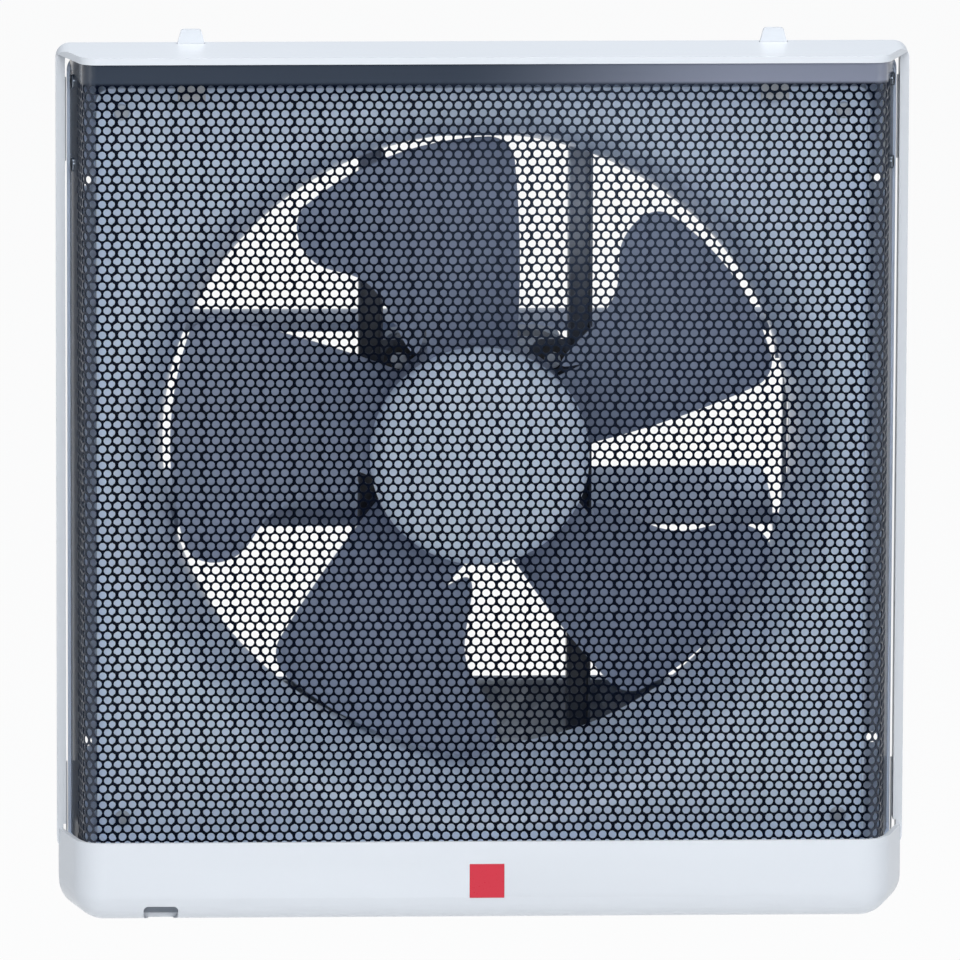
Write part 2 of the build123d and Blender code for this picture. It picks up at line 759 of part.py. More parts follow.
with BuildPart() as shutter_screws:
    for side in (-1, 1):
        with BuildSketch(Plane.XY.offset(side * (box_inside - screw_head_radius))):
            with Locations((0, shutter_front + shutter_recess / 2)):
                with GridLocations(box_width / 2, 1, 2, 1):
                    Circle(screw_radius)
        extrude(amount=side * (box_sheet + screw_head_radius))
        with BuildSketch(Plane.XY.offset(side * box_width / 2)):
            with Locations((0, shutter_front + shutter_recess / 2)):
                with GridLocations(box_width / 2, 1, 2, 1):
                    Circle(screw_head_radius)
        extrude(amount=side * screw_head_height / 2)
save(shutter_screws, "shutter_screws")

with BuildPart() as pivot_bushes:
    for side in (-1, 1):
        with BuildSketch(Plane.YZ.offset(side * opening_side)):
            with Locations(*[(pivot_depth, z) for z in pivot_heights]):
                Circle(bush_radius)
                Circle(pivot_radius + running_clearance, mode=Mode.SUBTRACT)
        extrude(amount=side * (shutter_web + bush_wall))
save(pivot_bushes, "pivot_bushes")

# ---- louvers: cambered blades on a beaded front edge, with end pins and a crank -------------
pin_tip = opening_side + shutter_web + bush_wall - seat_gap
louver_labels = ("louver_top", "louver_middle", "louver_bottom")
for height, (droop, rise), label in zip(pivot_heights, louver_forms, louver_labels):
    axis_plane = Plane(
        origin=(0, pivot_depth, height),
        x_dir=(0, math.cos(math.radians(droop)), -math.sin(math.radians(droop))),
        z_dir=(1, 0, 0),
    )
    with BuildPart() as louver:
        with BuildSketch(axis_plane.offset(-louver_end)):
            with BuildLine():
                heel = (-louver_bead, rise)
                crown = (louver_chord / 2, rise + louver_camber)
                toe = (louver_chord, rise)
                upper = ThreePointArc(heel, crown, toe)
                lower = upper.moved(Location((0, -louver_sheet)))
                add(lower)
                Line(upper @ 0, lower @ 0)
                Line(upper @ 1, lower @ 1)
            make_face()
            with Locations((louver_chord - louver_sheet / 2, rise - louver_lip / 2)):
                Rectangle(louver_sheet, louver_lip)
            with Locations((0, (rise - louver_sheet / 2) / 2)):
                Rectangle(2 * louver_bead, rise - louver_sheet / 2)
            Circle(louver_bead)
        extrude(amount=2 * louver_end)
        # pivot pins
        with BuildSketch(axis_plane.offset(-pin_tip)):
            Circle(pivot_radius)
        extrude(amount=2 * pin_tip)
        # crank and its pin on the right-hand end
        with BuildSketch(Plane.YZ.offset(louver_end)):
            with Locations((pivot_depth + crank_y / 2, height + crank_z / 2)):
                SlotCenterToCenter(crank_radius, crank_width, rotation=crank_angle)
        extrude(amount=crank_sheet)
        with BuildSketch(Plane.YZ.offset(louver_end)):
            with Locations((pivot_depth + crank_y, height + crank_z)):
                Circle(crank_pin_radius)
        extrude(amount=pin_end - louver_end)
    save(louver, label)

# ---- link bar that joins the three cranks to the drive --------------------------------------
link_pins = [(pivot_depth + crank_y, z + crank_z) for z in pivot_heights]
drive_pin_place = (drive_pivot_depth + crank_y, drive_pivot_height + crank_z)
link_foot = (link_pins[0][0], drive_pin_place[1])
with BuildPart() as link_bar:
    with BuildSketch(Plane.YZ.offset(link_side)):
        with Locations((link_foot[0], (link_pins[0][1] + link_foot[1]) / 2)):
            SlotCenterToCenter(link_pins[0][1] - link_foot[1], link_width, rotation=90)
        with Locations(((link_foot[0] + drive_pin_place[0]) / 2, link_foot[1])):
            SlotCenterToCenter(link_foot[0] - drive_pin_place[0], link_width)
        with Locations(link_pins[0]):
            Circle(crank_pin_radius + running_clearance, mode=Mode.SUBTRACT)
        with Locations(*link_pins[1:], drive_pin_place):
            Circle(crank_pin_radius + link_clearance, mode=Mode.SUBTRACT)
    extrude(amount=link_sheet)
save(link_bar, "link_bar")

# ---- shutter drive: geared actuator, its bracket and its arm --------------------------------
drive_right = louver_end + link_side_gap / 2
drive_left = drive_right - drive_width
with BuildPart() as shutter_actuator:
    with BuildSketch(Plane.YZ.offset(drive_left)):
        with Locations((drive_pivot_depth, drive_pivot_height)):
            RectangleRounded(drive_depth, drive_height, crank_sheet)
    extrude(amount=drive_width)
    with BuildSketch(Plane.YZ.offset(drive_right)):
        with Locations((drive_pivot_depth, drive_pivot_height)):
            Circle(drive_shaft_radius + running_clearance)
    extrude(amount=-drive_shaft_length, mode=Mode.SUBTRACT)
save(shutter_actuator, "shutter_actuator")

with BuildPart() as actuator_bracket:
    with BuildSketch(Plane.XZ.offset(-drive_pivot_depth - drive_depth / 2)):
        with BuildLine():
            bracket_top = drive_pivot_height + drive_height / 2
            Polyline(
                (drive_left, bracket_top),
                (drive_left, -box_inside + bracket_sheet),
                (drive_right, -box_inside + bracket_sheet),
                (drive_right, -box_inside),
                (drive_left - bracket_sheet, -box_inside),
                (drive_left - bracket_sheet, bracket_top),
                close=True,
            )
        make_face()
    extrude(amount=drive_depth)
save(actuator_bracket, "actuator_bracket")

with BuildPart() as actuator_arm:
    arm_side = louver_end + link_side_gap
    with BuildSketch(Plane.YZ.offset(drive_right - drive_shaft_length + seat_gap)):
        with Locations((drive_pivot_depth, drive_pivot_height)):
            Circle(drive_shaft_radius)
    extrude(amount=drive_shaft_length - seat_gap + arm_side - drive_right)
    with BuildSketch(Plane.YZ.offset(arm_side)):
        with Locations((drive_pivot_depth + crank_y / 2, drive_pivot_height + crank_z / 2)):
            SlotCenterToCenter(crank_radius, crank_width, rotation=crank_angle)
    extrude(amount=crank_side - arm_side)
    with BuildSketch(Plane.YZ.offset(arm_side)):
        with Locations(drive_pin_place):
            Circle(crank_pin_radius)
    extrude(amount=pin_end - arm_side)
save(actuator_arm, "actuator_arm")

# ---- terminal box in the lower left corner --------------------------------------------------
terminal_x = -box_inside + terminal_width / 2
terminal_z = -box_inside + terminal_height / 2
screw_inset = 1.3 * screw_head_radius
terminal_span = (terminal_width - 2 * screw_inset, terminal_height - 2 * screw_inset)
with BuildPart() as terminal_box:
    with BuildSketch(at_depth(terminal_rear)):
        with Locations((terminal_x, terminal_z)):
            RectangleRounded(terminal_width, terminal_height, box_corner - box_sheet)
    extrude(amount=terminal_depth)
    with BuildSketch(at_depth(terminal_rear - terminal_wall)):
        with Locations((terminal_x, terminal_z)):
            Rectangle(terminal_width - 2 * terminal_wall, terminal_height - 2 * terminal_wall)
    extrude(amount=terminal_depth - terminal_wall, mode=Mode.SUBTRACT)
    # screw pillars
    with BuildSketch(at_depth(terminal_rear)):
        with Locations((terminal_x, terminal_z)):
            with GridLocations(*terminal_span, 2, 2):
                Circle(screw_head_radius)
    extrude(amount=terminal_depth)
    with BuildSketch(at_depth(terminal_front)):
        with Locations((terminal_x, terminal_z)):
            with GridLocations(*terminal_span, 2, 2):
                Circle(screw_radius)
    extrude(amount=-terminal_depth / 4, mode=Mode.SUBTRACT)
    with BuildSketch(Plane.YZ.offset(-box_inside)):
        with Locations(inlet_place):
            Circle(inlet_neck)
    extrude(amount=terminal_wall, mode=Mode.SUBTRACT)
save(terminal_box, "terminal_box")

with BuildPart() as terminal_cover:
    with BuildSketch(at_depth(terminal_front)):
        with Locations((terminal_x, terminal_z)):
            RectangleRounded(terminal_width, terminal_height, box_corner - box_sheet)
            with GridLocations(*terminal_span, 2, 2):
                Circle(screw_hole_radius, mode=Mode.SUBTRACT)
    extrude(amount=terminal_wall)
save(terminal_cover, "terminal_cover")

with BuildPart() as terminal_screws:
    cover_face = terminal_front - terminal_wall
    for start, length, radius in (
        (terminal_front + terminal_depth / 4, terminal_depth / 4 + terminal_wall, screw_radius),
        (cover_face, screw_head_height, 0.9 * screw_head_radius),
    ):
        with BuildSketch(at_depth(start)):
            with Locations((terminal_x, terminal_z)):
                with GridLocations(*terminal_span, 2, 2):
                    Circle(radius)
        extrude(amount=length)
save(terminal_screws, "terminal_screws")

with BuildPart() as capacitor:
    with BuildSketch(at_depth(terminal_rear - terminal_wall)):
        with Locations((terminal_x, terminal_z)):
            RectangleRounded(capacitor_width, capacitor_height, screw_radius)
    extrude(amount=capacitor_depth)
save(capacitor, "capacitor")

block_rear = terminal_rear - terminal_wall - capacitor_depth
with BuildPart() as terminal_block:
    with BuildSketch(at_depth(block_rear)):
        with Locations((terminal_x, terminal_z)):
            Rectangle(block_width, block_height)
    extrude(amount=block_depth)
    with BuildSketch(at_depth(block_rear - block_depth)):
        with Locations((terminal_x, terminal_z)):
            with GridLocations(block_width / block_poles, 1, block_poles, 1):
                Rectangle(block_width / (block_poles + 1), block_height / 2)
    extrude(amount=-block_depth / 3, mode=Mode.SUBTRACT)
save(terminal_block, "terminal_block")

with BuildPart() as inlet_bush:
    with BuildSketch(Plane.YZ.offset(-box_inside + terminal_wall)):
        with Locations(inlet_place):
            Circle(inlet_neck)
            Circle(inlet_bore, mode=Mode.SUBTRACT)
    extrude(amount=-terminal_wall - box_sheet)
    for start in (-box_width / 2, -box_inside + terminal_wall + inlet_flange_height):
        with BuildSketch(Plane.YZ.offset(start)):
            with Locations(inlet_place):
                Circle(inlet_flange)
                Circle(inlet_bore, mode=Mode.SUBTRACT)
        extrude(amount=-inlet_flange_height)
save(inlet_bush, "inlet_bush")

# ---- perforated front sheet: bent round its corners, with pressed upright flutes -----------
flare = math.atan2((sheet_rear_width - sheet_front_width) / 2, sheet_front - sheet_rear)


def sheet_form(inset, top, bottom):
    """Solid block inside the sheet's plan outline, moved in by inset."""
    shift = inset / math.cos(flare) - inset * math.tan(flare)
    front_half = sheet_front_width / 2 - shift
    rear_half = sheet_rear_width / 2 - inset / math.cos(flare)
    with BuildPart() as form:
        with BuildSketch(Plane.XY.offset(bottom)) as plan:
            with BuildLine():
                Polyline(
                    (-rear_half, -sheet_rear),
                    (-front_half, -sheet_front + inset),
                    (front_half, -sheet_front + inset),
                    (rear_half, -sheet_rear),
                    close=True,
                )
            make_face()
            fillet(plan.vertices().group_by(Axis.Y)[0], sheet_corner - inset)
        extrude(amount=top - bottom)
        # flutes, rounded at both ends
        with BuildSketch(at_depth(-sheet_front)):
            with Locations((0, (flute_top + flute_bottom) / 2)):
                with GridLocations(flute_spacing, 1, flute_count, 1):
                    SlotOverall(
                        flute_top - flute_bottom + 2 * inset, flute_width + 2 * inset, rotation=90
                    )
        extrude(amount=-flute_depth - inset, mode=Mode.SUBTRACT)
    return form.part


with BuildPart() as grille_sheet:
    add(sheet_form(0, sheet_top, sheet_bottom))
    add(sheet_form(sheet_thickness, sheet_top + 1, sheet_bottom - 1), mode=Mode.SUBTRACT)


def wall_plane(side, height, lift):
    """Plane on the sheet's flared side wall, facing outwards."""
    half = sheet_rear_width / 2 - (rivet_depth - sheet_rear) * math.tan(flare)
    normal = Vector(side * math.cos(flare), -math.sin(flare), 0)
    return Plane(
        origin=Vector(side * half, -rivet_depth, height) + normal * lift,
        x_dir=(0, 0, 1),
        z_dir=normal,
    )


rivet_planes = [wall_plane(side, z, 0) for side in (-1, 1) for z in rivet_heights]
with grille_sheet:
    for plane in rivet_planes:
        with BuildSketch(plane):
            Circle(rivet_radius)
        extrude(amount=-2 * sheet_thickness, mode=Mode.SUBTRACT)
save(grille_sheet, "grille_sheet")

with BuildPart() as grille_rivets:
    for plane in rivet_planes:
        with BuildSketch(plane):
            Circle(rivet_radius)
        extrude(amount=-sheet_thickness - ear_thickness)
        with BuildSketch(plane):
            Circle(rivet_head_radius)
        extrude(amount=rivet_head_height)
save(grille_rivets, "grille_rivets")

# ---- white front frame: cap, side strips and lower cover in one moulding --------------------


def front_form(inset, top, bottom, corner, bottom_corner, width, front_width):
    """Block with the plan outline of cap and cover, moved in by inset."""
    half = width / 2 - inset
    front_half = front_width / 2 - inset
    depth = frame_front - inset
    with BuildPart() as form:
        with BuildSketch(Plane.XY.offset(bottom)) as plan:
            with BuildLine():
                Polyline(
                    (-half, inset),
                    (-half, -frame_side_depth),
                    (-front_half, -depth),
                    (front_half, -depth),
                    (half, -frame_side_depth),
                    (half, inset),
                    close=True,
                )
            make_face()
            fillet(plan.vertices().group_by(Axis.Y)[0], corner)
            fillet(plan.vertices().filter_by_position(
                Axis.Y, -frame_side_depth - 0.01, -frame_side_depth + 0.01), frame_side_depth / 2)
        extrude(amount=top - bottom)
        if bottom_corner > 0:
            low = form.faces().sort_by(Axis.Z)[0]
            rear = low.edges().sort_by(Axis.Y)[-1]
            fillet(low.edges() - ShapeList([rear]), bottom_corner)
    return form.part


def cap_form():
    """Cap plate with its plan outline and rounded upper corners."""
    with BuildPart() as cap:
        add(
            front_form(
                0, frame_half, frame_half - cap_thickness, sheet_corner, 0, frame_width,
                frame_front_width,
            )
        )
        with BuildSketch(at_depth(0)) as front_view:
            Rectangle(frame_width, frame_width)
            fillet(front_view.vertices(), cap_corner)
        extrude(amount=frame_front, mode=Mode.INTERSECT)
    return cap.part


slot_width = catch_base + 2 * seat_gap
with BuildPart() as front_frame:
    # strips and the rear rim of the cap
    with BuildSketch(at_depth(0)) as ring:
        strip_bottom = cover_top - strip_overlap
        with Locations((0, (frame_half + strip_bottom) / 2)):
            Rectangle(frame_width, frame_half - strip_bottom)
        fillet(ring.vertices().group_by(Axis.Z)[-1], cap_corner)
    extrude(amount=frame_side_depth)
    with BuildSketch(at_depth(0)) as ring_opening:
        with Locations((0, (frame_half - cap_thickness + strip_bottom) / 2)):
            Rectangle(frame_width - 2 * frame_side, frame_half - cap_thickness - strip_bottom)
        fillet(ring_opening.vertices().group_by(Axis.Z)[-1], cap_corner - cap_thickness)
    extrude(amount=frame_side_depth, mode=Mode.SUBTRACT)
    add(cap_form())
    add(
        front_form(
            0, cover_top, cover_bottom, cover_plan_corner, cover_bottom_corner, cover_width,
            cover_front_width,
        )
    )
    add(
        front_form(
            cover_wall, cover_top + cover_wall, cover_bottom + cover_wall,
            cover_plan_corner - cover_wall, cover_bottom_corner - cover_wall, cover_width,
            cover_front_width,
        ),
        mode=Mode.SUBTRACT,
    )
    # notch in the lower edge of the cover
    with BuildSketch(at_depth(-frame_front + cover_plan_corner)) as notch:
        with Locations((notch_inset - cover_width / 2, cover_bottom + notch_height / 2)):
            Rectangle(notch_width, notch_height)
        fillet(notch.vertices().group_by(Axis.Z)[-1], notch_corner)
    extrude(amount=cover_plan_corner, mode=Mode.SUBTRACT)
    # rail inside the cover that holds the sheet's lower edge
    with BuildSketch(Plane.YZ.offset(-sheet_front_width / 2 + cover_plan_corner)):
        with BuildLine():
            rail_back = -sheet_front + sheet_thickness + flute_depth + seat_gap
            Polyline(
                (-frame_front + cover_wall / 2, sheet_bottom - seat_gap - ear_thickness),
                (rail_back + ear_thickness, sheet_bottom - seat_gap - ear_thickness),
                (rail_back + ear_thickness, flute_bottom - seat_gap),
                (rail_back, flute_bottom - seat_gap),
                (rail_back, sheet_bottom - seat_gap),
                (-frame_front + cover_wall / 2, sheet_bottom - seat_gap),
                close=True,
            )
        make_face()
    extrude(amount=sheet_front_width - 2 * cover_plan_corner)
    # ribs that stand on the flange: two under the cap, two per side, two in the cover
    rib_reach = frame_half - cap_thickness - flange_width / 2 - seat_gap
    with BuildSketch(at_depth(0)):
        with Locations((0, flange_width / 2 + seat_gap + rib_reach / 2)):
            with GridLocations(flange_width / 2, 1, 2, 1):
                Rectangle(4 * cap_corner, rib_reach)
        side_reach = frame_half - frame_side - flange_width / 2 - seat_gap
        for height in (sum(rivet_heights) / 2, -sum(rivet_heights) / 2):
            with Locations((0, height)):
                with GridLocations(flange_width + 2 * seat_gap + side_reach, 1, 2, 1):
                    Rectangle(side_reach, rib_length)
        foot_reach = -flange_width / 2 - seat_gap - cover_bottom - cover_wall / 2
        with Locations((0, -flange_width / 2 - seat_gap - foot_reach / 2)):
            with GridLocations(flange_width / 2, 1, 2, 1):
                Rectangle(cover_wall, foot_reach)
    extrude(amount=sheet_rear - seat_gap)
    # ears inside the sheet's side walls, for the rivets
    ear_middle = frame_half - cap_thickness - ear_length / 2
    for side in (-1, 1):
        with BuildSketch(wall_plane(side, ear_middle, -sheet_thickness)):
            Rectangle(ear_length, ear_width)
        extrude(amount=-ear_thickness)
    for plane in rivet_planes:
        with BuildSketch(plane):
            Circle(rivet_radius)
        extrude(amount=-2 * ear_thickness, mode=Mode.SUBTRACT)
    # slots for the catches
    with BuildSketch(Plane.XY.offset(frame_half)):
        with Locations((0, -catch_front + catch_thickness / 2)):
            with GridLocations(2 * catch_offset, 1, 2, 1):
                Rectangle(slot_width, catch_thickness + 2 * seat_gap)
    extrude(amount=-cap_thickness, mode=Mode.SUBTRACT)
save(front_frame, "front_frame")

# ---- catches: press-down tabs through the cap, with a shoe under the panel's lip ------------
shoe_top = panel_width / 2 - panel_sheet - seat_gap
stem_front = panel_front - panel_lip - seat_gap - catch_thickness
land_top = frame_half - cap_thickness - seat_gap
for side, label in ((-1, "catch_left"), (1, "catch_right")):
    with BuildPart() as catch:
        # tab
        with BuildSketch(at_depth(-catch_front + catch_thickness)) as tab:
            with BuildLine():
                Polyline(
                    (side * catch_offset - catch_base / 2, land_top - catch_thickness / 2),
                    (side * catch_offset - catch_base / 2, frame_half),
                    (side * catch_offset - catch_tip / 2, frame_half + catch_rise),
                    (side * catch_offset + catch_tip / 2, frame_half + catch_rise),
                    (side * catch_offset + catch_base / 2, frame_half),
                    (side * catch_offset + catch_base / 2, land_top - catch_thickness / 2),
                    close=True,
                )
            make_face()
            fillet(tab.vertices().group_by(Axis.Z)[-1], catch_corner)
        extrude(amount=catch_thickness)
        # land under the cap, stem and shoe
        with BuildSketch(Plane.YZ.offset(side * catch_offset - catch_base / 2)):
            with BuildLine():
                Polyline(
                    (-catch_front + catch_thickness, land_top),
                    (-catch_front + catch_thickness, land_top - catch_thickness),
                    (stem_front + catch_thickness, land_top - catch_thickness),
                    (stem_front + catch_thickness, shoe_top),
                    (panel_front - 2 * seat_gap, shoe_top),
                    (panel_front - 2 * seat_gap, shoe_top - catch_thickness),
                    (stem_front + catch_thickness, shoe_top - catch_shoe_height),
                    (stem_front, shoe_top - catch_shoe_height),
                    (stem_front, land_top),
                    close=True,
                )
            make_face()
        extrude(amount=catch_base)
    save(catch, label)
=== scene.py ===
"""Wall ventilating fan with its finishes, in metres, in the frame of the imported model."""

import json
import math

import bmesh
import bpy
from mathutils import Matrix, Vector

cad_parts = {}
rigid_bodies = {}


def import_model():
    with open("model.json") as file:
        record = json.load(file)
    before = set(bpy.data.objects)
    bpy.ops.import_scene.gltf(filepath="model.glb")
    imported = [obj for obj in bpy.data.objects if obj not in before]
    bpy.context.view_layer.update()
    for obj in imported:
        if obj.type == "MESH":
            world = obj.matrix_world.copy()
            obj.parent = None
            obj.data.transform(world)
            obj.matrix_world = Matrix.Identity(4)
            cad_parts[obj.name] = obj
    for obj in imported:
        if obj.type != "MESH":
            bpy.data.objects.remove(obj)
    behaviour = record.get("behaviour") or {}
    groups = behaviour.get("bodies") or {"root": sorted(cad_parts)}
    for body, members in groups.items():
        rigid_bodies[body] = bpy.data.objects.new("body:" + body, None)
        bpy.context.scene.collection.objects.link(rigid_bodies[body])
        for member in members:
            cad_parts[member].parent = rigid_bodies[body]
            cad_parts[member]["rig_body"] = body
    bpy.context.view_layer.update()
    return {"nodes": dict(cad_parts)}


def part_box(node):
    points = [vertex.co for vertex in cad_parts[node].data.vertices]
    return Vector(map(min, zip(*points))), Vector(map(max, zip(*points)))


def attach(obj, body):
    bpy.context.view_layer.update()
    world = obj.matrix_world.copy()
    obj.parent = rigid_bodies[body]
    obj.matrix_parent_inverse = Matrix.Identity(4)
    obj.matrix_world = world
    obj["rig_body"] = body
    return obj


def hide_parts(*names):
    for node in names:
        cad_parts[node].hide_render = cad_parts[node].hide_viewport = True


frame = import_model()


# ---- Studio -------------------------------------------------------------------------------
# A pale floor and a white surround. The fan is held up at the height of a wall opening, so the
# floor lies well below it and takes its shadow.
class Wire:
    """An output socket in a node tree. Arithmetic on it adds Math nodes."""

    def __init__(self, tree, socket=None):
        self.tree = tree
        self.socket = socket

    def node(self, kind, settings=None, out=0, **values):
        """Add a node: its settings first, then the values or links of its sockets."""
        made = self.tree.nodes.new(kind)
        for name, value in (settings or {}).items():
            if name == "stops":
                ramp = made.color_ramp.elements
                while len(ramp) < len(value):
                    ramp.new(0.5)
                for stop, (place, colour) in zip(ramp, value):
                    stop.position = place
                    stop.color = (*colour, 1)
            else:
                setattr(made, name, value)
        for name, value in values.items():
            index = name[1:] if name[0] == "i" and name[1:].isdigit() else None
            socket = made.inputs[int(index)] if index else made.inputs[name.replace("_", " ")]
            if isinstance(value, Wire):
                self.tree.links.new(value.socket, socket)
            else:
                socket.default_value = value
        return Wire(self.tree, made.outputs[out] if made.outputs else None)

    def output(self, name):
        """Another output of the node that this one comes from."""
        return Wire(self.tree, self.socket.node.outputs[name])

    def part(self, axis):
        """X, Y or Z of this vector."""
        return self.node("ShaderNodeSeparateXYZ", Vector=self).output(axis)

    def math(self, operation, first, second=0.0, third=0.0):
        """A Math node on values or wires."""
        return self.node(
            "ShaderNodeMath", {"operation": operation}, i0=first, i1=second, i2=third
        )

    def __add__(self, other):
        return self.math("ADD", self, other)

    def __radd__(self, other):
        return self.math("ADD", other, self)

    def __sub__(self, other):
        return self.math("SUBTRACT", self, other)

    def __rsub__(self, other):
        return self.math("SUBTRACT", other, self)

    def __mul__(self, other):
        return self.math("MULTIPLY", self, other)

    def __rmul__(self, other):
        return self.math("MULTIPLY", other, self)

    def __truediv__(self, other):
        return self.math("DIVIDE", self, other)

    def __gt__(self, other):
        return self.math("GREATER_THAN", self, other)

    def __lt__(self, other):
        return self.math("LESS_THAN", self, other)

    def __abs__(self):
        return self.math("ABSOLUTE", self)

    def clamp(self, low, high):
        """The value held between two limits."""
        return self.math("MINIMUM", self.math("MAXIMUM", self, low), high)

    def fade(self, start, end, low=0.0, high=1.0):
        """A smooth step from low to high while this value goes from start to end."""
        return self.node(
            "ShaderNodeMapRange", {"interpolation_type": "SMOOTHSTEP"},
            Value=self, i1=start, i2=end, i3=low, i4=high,
        )

    def ramp(self, *stops):
        """Colours along this value, each stop a place and its colour."""
        return self.node("ShaderNodeValToRGB", {"stops": stops}, i0=self)


def blank_material(name):
    """A material with an empty tree, and a wire to build it with."""
    material = bpy.data.materials.new(name)
    material.use_nodes = True
    material.node_tree.nodes.clear()
    return material, Wire(material.node_tree)


def close_material(wire, shader):
    """Send a shader to the material's output."""
    wire.node("ShaderNodeOutputMaterial", Surface=shader)


def studio_white(name, share):
    """White that the camera, glass and gloss see as background; it still takes a shadow."""
    material, wire = blank_material(name)
    path = wire.node("ShaderNodeLightPath")
    direct = path.output("Is Camera Ray") + path.output("Is Transmission Ray")
    seen = (direct + path.output("Is Glossy Ray")).clamp(0, 1)
    paint = wire.node("ShaderNodeBsdfDiffuse", Color=(0.9, 0.9, 0.9, 1))
    glow = wire.node("ShaderNodeEmission", Color=(1, 1, 1, 1), Strength=1.0)
    close_material(wire, wire.node("ShaderNodeMixShader", i0=seen * share, i1=paint, i2=glow))
    return material


frame_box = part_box("front_frame")
floor_drop = 0.55           # from the fan's lower edge down to the floor
floor_reach = 9.0
bpy.ops.mesh.primitive_grid_add(
    x_subdivisions=2, y_subdivisions=2, size=2 * floor_reach,
    location=(0, floor_reach / 2, frame_box[0].z - floor_drop),
)
floor = bpy.context.object
floor.name = "studio_floor"
floor.data.materials.append(studio_white("studio_floor_white", 0.94))

world = bpy.data.worlds.new("studio")
bpy.context.scene.world = world
world.use_nodes = True
world.node_tree.nodes.clear()
surround_tint = (0.78, 0.85, 0.95, 1)
surround_strength = 0.42
sky = Wire(world.node_tree)
path = sky.node("ShaderNodeLightPath")
seen = (path.output("Is Camera Ray") + path.output("Is Transmission Ray")).clamp(0, 1)
dull = sky.node("ShaderNodeBackground", Color=surround_tint, Strength=surround_strength)
white = sky.node("ShaderNodeBackground", Color=(1, 1, 1, 1), Strength=1.0)
backdrop = sky.node("ShaderNodeMixShader", i0=seen, i1=dull, i2=white)
sky.node("ShaderNodeOutputWorld", Surface=backdrop)


def softbox(name, place, size, power):
    """An area lamp, of a size in metres and a power in watts, that faces the fan's middle."""
    light = bpy.data.lights.new(name, "AREA")
    light.shape = "RECTANGLE"
    light.size, light.size_y = size
    light.energy = power
    lamp = bpy.data.objects.new(name, light)
    lamp.location = place
    lamp.rotation_euler = (-Vector(place)).to_track_quat("-Z", "Y").to_euler()
    bpy.context.scene.collection.objects.link(lamp)


softbox("front_softbox", (0.2, -3.2, 1.5), (2.2, 1.6), 74)
softbox("top_softbox", (0.1, -0.35, 2.3), (2.2, 1.0), 52)
softbox("left_softbox", (-2.3, -1.8, 0.5), (1.2, 2.2), 6)
softbox("right_softbox", (2.2, -1.8, 0.5), (1.0, 2.2), 6)

# The camera stands far off, a little above and to the left of the middle.
view_distance = 7.0
view_azimuth = math.radians(-2.42)
view_elevation = math.radians(11.27)
view_roll = math.radians(0.22)
view_width = 0.4709         # width of the wall plane that fills the view
aim = Vector((-0.0002, 0.0, -0.0102))
camera_data = bpy.data.cameras.new("camera")
camera = bpy.data.objects.new("camera", camera_data)
bpy.context.scene.collection.objects.link(camera)
back = Vector((
    math.sin(view_azimuth) * math.cos(view_elevation),
    -math.cos(view_azimuth) * math.cos(view_elevation),
    math.sin(view_elevation),
))
camera.location = aim + back * view_distance
heading = (-back).to_track_quat("-Z", "Y").to_matrix()
camera.rotation_euler = (heading @ Matrix.Rotation(view_roll, 3, "Z")).to_euler()
camera_data.sensor_width = 36.0
camera_data.lens = camera_data.sensor_width * view_distance / view_width
camera_data.clip_end = 50.0
bpy.context.scene.camera = camera
bpy.context.scene.view_settings.view_transform = "Standard"


# ---- Wall box -----------------------------------------------------------------------------
# A sleeve folded from galvanised steel sheet, with a flange that is screwed to the wall. The
# flange's front shows behind the mesh and is enamelled like the panel.
def linear(red, green, blue):
    """Linear colour of a paint given as it looks on a screen, 0 to 255."""
    return tuple(
        c / 255 / 12.92 if c <= 10.3 else ((c / 255 + 0.055) / 1.055) ** 2.4
        for c in (red, green, blue)
    )


panel_paint = linear(219, 233, 255)


def laid_over(wire, share, under, over):
    """One colour laid over another, as far as share says."""
    if isinstance(over, tuple):
        over = (*over, 1.0)
    return wire.node("ShaderNodeMix", {"data_type": "RGBA"}, out=2, i0=share, i6=under, i7=over)


def finish(name, colour, roughness, metallic=0.0, coat=0.0, grain=0.0, grain_size=300.0,
           tint=0.0, tint_size=12.0):
    """A painted, plated or moulded surface: cloudy tint, fine grain, slightly uneven gloss."""
    material, wire = blank_material(name)
    place = wire.node("ShaderNodeTexCoord").output("Object")
    cloud = wire.node("ShaderNodeTexNoise", Vector=place, Scale=tint_size, Detail=4.0)
    fine = wire.node("ShaderNodeTexNoise", Vector=place, Scale=grain_size, Detail=3.0)
    deep = tuple(c * (1 - tint) for c in colour)
    pale = tuple(min(1.0, c * (1 + tint)) for c in colour)
    shade = cloud.ramp((0.3, deep), (0.7, pale))
    uneven = (roughness + (fine - 0.5) * 0.12 + (cloud - 0.5) * 0.1).clamp(0.03, 1)
    bump = wire.node("ShaderNodeBump", Strength=grain, Distance=0.0004, Height=fine)
    shader = wire.node(
        "ShaderNodeBsdfPrincipled", Base_Color=shade, Roughness=uneven, Metallic=metallic,
        Coat_Weight=coat, Coat_Roughness=0.08, Normal=bump,
    )
    close_material(wire, shader)
    return material


flange_reach = 0.002         # the flange's front lies within this of the wall's plane


